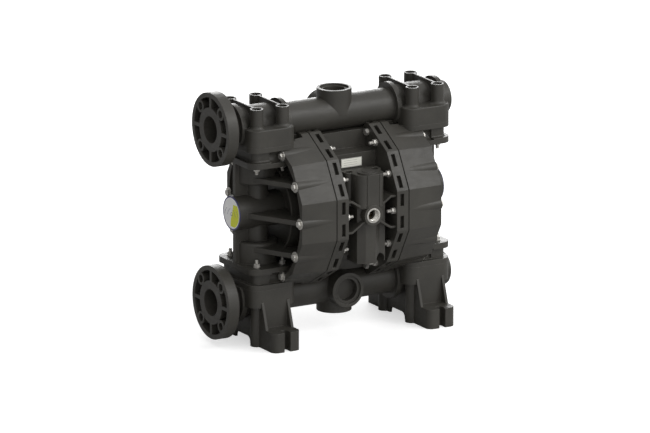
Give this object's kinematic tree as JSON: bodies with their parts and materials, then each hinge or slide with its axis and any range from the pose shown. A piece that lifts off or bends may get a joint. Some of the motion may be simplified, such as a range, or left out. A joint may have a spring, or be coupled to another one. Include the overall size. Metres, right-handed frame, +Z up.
{
  "type": "air operated diaphragm pump",
  "caption": "Plastic air operated double diaphragm pump with side flanges, twin ball-valve columns, dished fluid casings, central air valve and slotted feet.",
  "frame": {"origin": "on the floor, under the middle of the pump's box", "axes": "+X runs along the manifolds from the connection flanges to the closed ends, -Y faces the front with the air inlet, +Z is up; the diaphragm shaft lies along X 0.01555 m to +X of the origin and 0.292 m above the floor"},
  "size_m": [0.595, 0.35, 0.5708],
  "materials": {
    "casting_plastic": "semi-matt glass-filled plastic",
    "stainless": "plain stainless steel",
    "diaphragm_rubber": "matt",
    "seal_rubber": "matt",
    "pale_metal": "machined",
    "ball_elastomer": "smooth",
    "seat_plastic": "machined",
    "cage_plastic": "moulded",
    "bush_plastic": "machined",
    "cap_plastic": "moulded",
    "sleeve_brass": "machined",
    "badge_print": "printed",
    "label_film": "printed film"
  },
  "bodies": {
    "pump_body": {"air_inlet_insert": "pale_metal", "air_valve_cap": "cap_plastic", "air_valve_gasket": "seal_rubber", "air_valve_housing": "casting_plastic", "air_valve_screws": "stainless", "air_valve_sleeve": "sleeve_brass", "center_body": "casting_plastic", "discharge_flange": "casting_plastic", "discharge_manifold": "casting_plastic", "discharge_manifold_bolts": "stainless", "discharge_manifold_nuts": "stainless", "joint_o_rings": "seal_rubber", "left_air_chamber": "casting_plastic", "left_casing_bolts": "stainless", "left_casing_nuts": "stainless", "left_casing_washers": "stainless", "left_chamber_screws": "stainless", "left_diaphragm": "diaphragm_rubber", "left_discharge_ball_cage": "cage_plastic", "left_discharge_seat": "seat_plastic", "left_fluid_casing": "casting_plastic", "left_foot": "casting_plastic", "left_hub_badge": "badge_print", "left_shaft_bush": "bush_plastic", "left_suction_ball_cage": "cage_plastic", "left_suction_seat": "seat_plastic", "manifold_washers": "stainless", "rating_plate": "label_film", "right_air_chamber": "casting_plastic", "right_casing_bolts": "stainless", "right_casing_nuts": "stainless", "right_casing_washers": "stainless", "right_chamber_screws": "stainless", "right_diaphragm": "diaphragm_rubber", "right_discharge_ball_cage": "cage_plastic", "right_discharge_seat": "seat_plastic", "right_fluid_casing": "casting_plastic", "right_foot": "casting_plastic", "right_hub_badge": "badge_print", "right_shaft_bush": "bush_plastic", "right_suction_ball_cage": "cage_plastic", "right_suction_seat": "seat_plastic", "seat_o_rings": "seal_rubber", "shaft_seals": "seal_rubber", "suction_flange": "casting_plastic", "suction_manifold": "casting_plastic", "suction_manifold_bolts": "stainless", "suction_manifold_nuts": "stainless"},
    "shaft_assembly": {"diaphragm_shaft": "stainless", "left_inner_diaphragm_plate": "pale_metal", "right_inner_diaphragm_plate": "pale_metal", "left_outer_diaphragm_plate": "casting_plastic", "right_outer_diaphragm_plate": "casting_plastic"},
    "spool_assembly": {"air_valve_spool": "pale_metal", "spool_seals": "seal_rubber"},
    "left_suction_ball_body": {"left_suction_ball": "ball_elastomer"},
    "left_discharge_ball_body": {"left_discharge_ball": "ball_elastomer"},
    "right_suction_ball_body": {"right_suction_ball": "ball_elastomer"},
    "right_discharge_ball_body": {"right_discharge_ball": "ball_elastomer"}
  },
  "joints": [
    {"name": "shaft_stroke", "type": "slide", "parent": "pump_body", "child": "shaft_assembly", "axis": [1, 0, 0], "range_m": [-0.015, 0.015], "deforming": ["left_diaphragm", "right_diaphragm"]},
    {"name": "spool_shift", "type": "slide", "parent": "pump_body", "child": "spool_assembly", "axis": [0, 0, 1], "range_m": [0, 0.01]},
    {"name": "left_suction_ball_lift", "type": "slide", "parent": "pump_body", "child": "left_suction_ball_body", "axis": [0, 0, 1], "range_m": [0, 0.014]},
    {"name": "left_discharge_ball_lift", "type": "slide", "parent": "pump_body", "child": "left_discharge_ball_body", "axis": [0, 0, 1], "range_m": [0, 0.014]},
    {"name": "right_suction_ball_lift", "type": "slide", "parent": "pump_body", "child": "right_suction_ball_body", "axis": [0, 0, 1], "range_m": [0, 0.014]},
    {"name": "right_discharge_ball_lift", "type": "slide", "parent": "pump_body", "child": "right_discharge_ball_body", "axis": [0, 0, 1], "range_m": [0, 0.014]}
  ]
}
